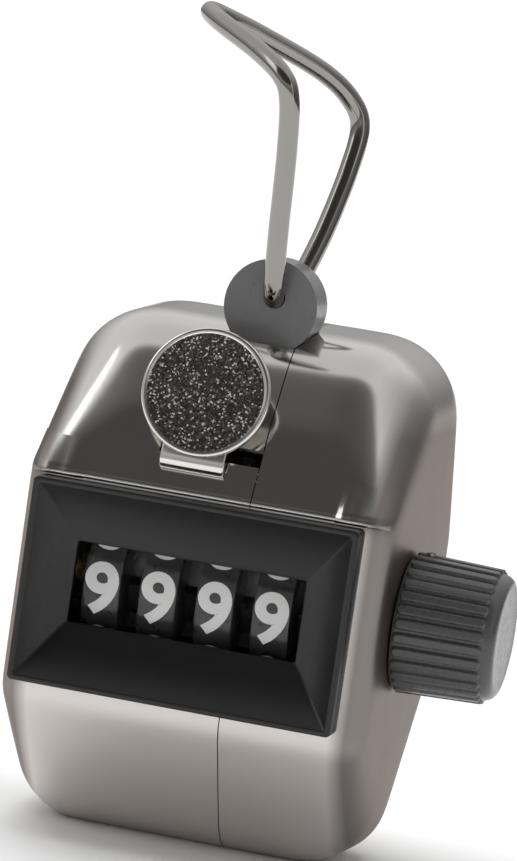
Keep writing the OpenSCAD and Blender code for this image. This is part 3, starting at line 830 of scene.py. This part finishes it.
# ---------------------------------------------------------------- finger ring
RING = [(0, -0.5, 0), (0, -2.2, 0), (0, -2.75, 0.15), (0.1, -3.9, 1.6), (0.2, -5.6, 7), (0.4, -7.6, 14),
        (0.2, -8.8, 19), (-0.9, -8.6, 21.2), (-4, -6.2, 23), (-8.4, -2.6, 24.8), (-10.6, 0.4, 25.6),
        (-11.2, 2.6, 25.8),
        (-10.4, 4.8, 25.4), (-7, 7.4, 24), (-1.6, 11.2, 21.4), (1.2, 13.2, 19), (2.4, 13.6, 16.4),
        (2.2, 12, 12), (1.4, 8.6, 6), (0.4, 5.6, 1.4), (0, 3.8, 0), (0, 2, 0)]


WIRE_R = 0.973


def make_ring():
    """Closed loop of wire on a smooth curve through the ring's points."""
    p = np.array(RING, float) + np.array([1.9, 1.2, AXIS_Z + 28.7])
    n = len(p)
    path = []
    for i in range(n):
        a, b, c, d = p[i - 1], p[i], p[(i + 1) % n], p[(i + 2) % n]
        for t in np.linspace(0, 1, 14, endpoint=False):
            square = (2 * a - 5 * b + 4 * c - d) * t * t
            cube = (3 * b - a - 3 * c + d) * t ** 3
            path.append(0.5 * (2 * b + (c - a) * t + square + cube))
    path = np.array(path)
    tangent = np.roll(path, -1, 0) - np.roll(path, 1, 0)
    tangent /= np.linalg.norm(tangent, axis=1)[:, None]
    side = np.cross(tangent[0], [1, 0, 0])
    sides = []
    for t in tangent:
        side = side - t * (side @ t)
        side /= np.linalg.norm(side)
        sides.append(side.copy())
    twist = math.atan2(np.cross(sides[-1], sides[0]) @ tangent[0], sides[-1] @ sides[0])
    k, rows = 24, []
    for i, (q, t, s) in enumerate(zip(path, tangent, sides)):
        up = np.cross(t, s)
        a = np.arange(k) * 2 * np.pi / k + twist * i / len(path)
        rows.append(q + WIRE_R * (np.cos(a)[:, None] * s + np.sin(a)[:, None] * up))
    ob = add_object("ring_wire", np.array(rows).reshape(-1, 3), grid_faces(len(rows), k, True, True),
                    [MATS["ring_nickel"]])
    fix_normals(ob)
    return ob


ring = make_ring()
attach(ring, "ring")
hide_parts("finger_ring")

# ---------------------------------------------------------------- CAD pieces that keep their own shape
for entry in frame["record"]["subparts"]:
    ob = nodes.get(entry["node"])
    if ob is None:
        continue
    ob.data.materials.clear()
    ob.data.materials.append(MATS[entry["material_slot"]])
for name in ("ring_boss", "case_screw", "number_shaft", "left_bush", "right_bush", "knob_pin",
             "frame_left_plate", "frame_right_plate", "comb_pawl", "detent_bar", "case_post"):
    bevel(nodes[name], 0.35 if name == "ring_boss" else 0.08, 3, 40)


# ---------------------------------------------------------------- floor, light and camera
def make_floor():
    me = bpy.data.meshes.new("floor")
    me.from_pydata([(-6, -6, 0), (6, -6, 0), (6, 6, 0), (-6, 6, 0)], [], [(0, 1, 2, 3)])
    m, _, _ = material("floor_white", (0.93, 0.93, 0.93), 0, 0.9, spec=0.0)
    me.materials.append(m)
    ob = bpy.data.objects.new("floor", me)
    bpy.context.scene.collection.objects.link(ob)


def area(name, at, aim, size, power, colour=(1, 1, 1)):
    li = bpy.data.lights.new(name, "AREA")
    li.shape = "RECTANGLE"
    li.size, li.size_y = size
    li.energy = power
    li.color = colour
    ob = bpy.data.objects.new(name, li)
    ob.location = at
    ob.rotation_mode = "QUATERNION"
    ob.rotation_quaternion = (Vector(aim) - Vector(at)).to_track_quat("-Z", "Y")
    bpy.context.scene.collection.objects.link(ob)


def sun(name, from_dir, strength, angle):
    li = bpy.data.lights.new(name, "SUN")
    li.energy = strength
    li.angle = math.radians(angle)
    ob = bpy.data.objects.new(name, li)
    ob.rotation_mode = "QUATERNION"
    ob.rotation_quaternion = Vector(from_dir).to_track_quat("Z", "Y")
    ob.visible_glossy = False
    bpy.context.scene.collection.objects.link(ob)


def make_world():
    """Studio surroundings: bright overhead, dark round the horizon, plain pale as a backdrop."""
    w = bpy.data.worlds.new("studio")
    w.use_nodes = True
    t = w.node_tree
    t.nodes.clear()
    out = t.nodes.new("ShaderNodeOutputWorld")
    co = t.nodes.new("ShaderNodeTexCoord")
    xyz = t.nodes.new("ShaderNodeSeparateXYZ")
    t.links.new(co.outputs["Generated"], xyz.inputs[0])
    up = ramp(t, xyz.outputs["Z"], [(0.0, 0.26), (0.25, 0.52), (0.60, 0.92), (0.85, 0.90), (1.0, 0.76)])
    # A dark patch high up in front, as a room has above the camera
    narrow = t.nodes.new("ShaderNodeVectorMath")
    narrow.operation = "MULTIPLY"
    narrow.inputs[1].default_value = (0.5, 1, 1)
    t.links.new(co.outputs["Generated"], narrow.inputs[0])
    unit = t.nodes.new("ShaderNodeVectorMath")
    unit.operation = "NORMALIZE"
    t.links.new(narrow.outputs[0], unit.inputs[0])
    dark = t.nodes.new("ShaderNodeVectorMath")
    dark.operation = "DOT_PRODUCT"
    dark.inputs[1].default_value = (0.0, -0.69, 0.72)
    t.links.new(unit.outputs[0], dark.inputs[0])
    patch = ramp(t, dark.outputs["Value"], [(0.86, 1.0), (0.90, 0.24), (0.97, 0.09)])
    mul = t.nodes.new("ShaderNodeMix")
    mul.data_type = "RGBA"
    mul.blend_type = "MULTIPLY"
    mul.inputs[0].default_value = 1.0
    t.links.new(up.outputs["Color"], mul.inputs[6])
    t.links.new(patch.outputs["Color"], mul.inputs[7])
    # Dimmer away to the right
    right = ramp(t, xyz.outputs["X"], [(0.35, 1.0), (0.85, 0.45)])
    dim = t.nodes.new("ShaderNodeMix")
    dim.data_type = "RGBA"
    dim.blend_type = "MULTIPLY"
    dim.inputs[0].default_value = 1.0
    t.links.new(mul.outputs[2], dim.inputs[6])
    t.links.new(right.outputs["Color"], dim.inputs[7])
    lit = t.nodes.new("ShaderNodeBackground")
    t.links.new(dim.outputs[2], lit.inputs["Color"])
    lit.inputs["Strength"].default_value = 1.0
    seen = t.nodes.new("ShaderNodeBackground")
    seen.inputs["Color"].default_value = (1.0, 1.0, 1.0, 1)
    path = t.nodes.new("ShaderNodeLightPath")
    mix = t.nodes.new("ShaderNodeMixShader")
    t.links.new(path.outputs["Is Camera Ray"], mix.inputs["Fac"])
    t.links.new(lit.outputs[0], mix.inputs[1])
    t.links.new(seen.outputs[0], mix.inputs[2])
    t.links.new(mix.outputs[0], out.inputs["Surface"])
    bpy.context.scene.world = w


def make_camera():
    """Camera at the azimuth, elevation and roll that match the counter's own axes, at a long lens."""
    az, el, roll = math.radians(12.85), math.radians(6.55), math.radians(8.23)
    target = Vector((2.166, 0, 40.286)) * MM
    d = Vector((math.sin(az) * math.cos(el), -math.cos(az) * math.cos(el), math.sin(el)))
    right = Vector((math.cos(az), math.sin(az), 0))
    up = right.cross(-d)
    r2 = right * math.cos(roll) + up * math.sin(roll)
    u2 = -right * math.sin(roll) + up * math.cos(roll)
    cam = bpy.data.cameras.new("camera")
    cam.sensor_fit = "AUTO"
    cam.sensor_width = 36
    cam.lens = 189.6
    cam.shift_x = -0.0025
    cam.clip_start = 0.01
    cam.clip_end = 50
    ob = bpy.data.objects.new("camera", cam)
    rot = Matrix((r2, u2, d)).transposed().to_4x4()
    ob.matrix_world = Matrix.Translation(target + d * 0.432492) @ rot
    bpy.context.scene.collection.objects.link(ob)
    bpy.context.scene.camera = ob


make_floor()
make_world()
make_camera()
area("key", (-0.45, -0.20, 0.40), (0, 0, 0.03), (0.22, 0.30), 0.25)
area("fill", (0.55, -0.30, 0.22), (0, 0, 0.03), (0.16, 0.4), 0.12)
sun("sky", (-0.15, 0.30, 1.0), 1.9, 60)
bpy.context.scene.view_settings.view_transform = "Standard"
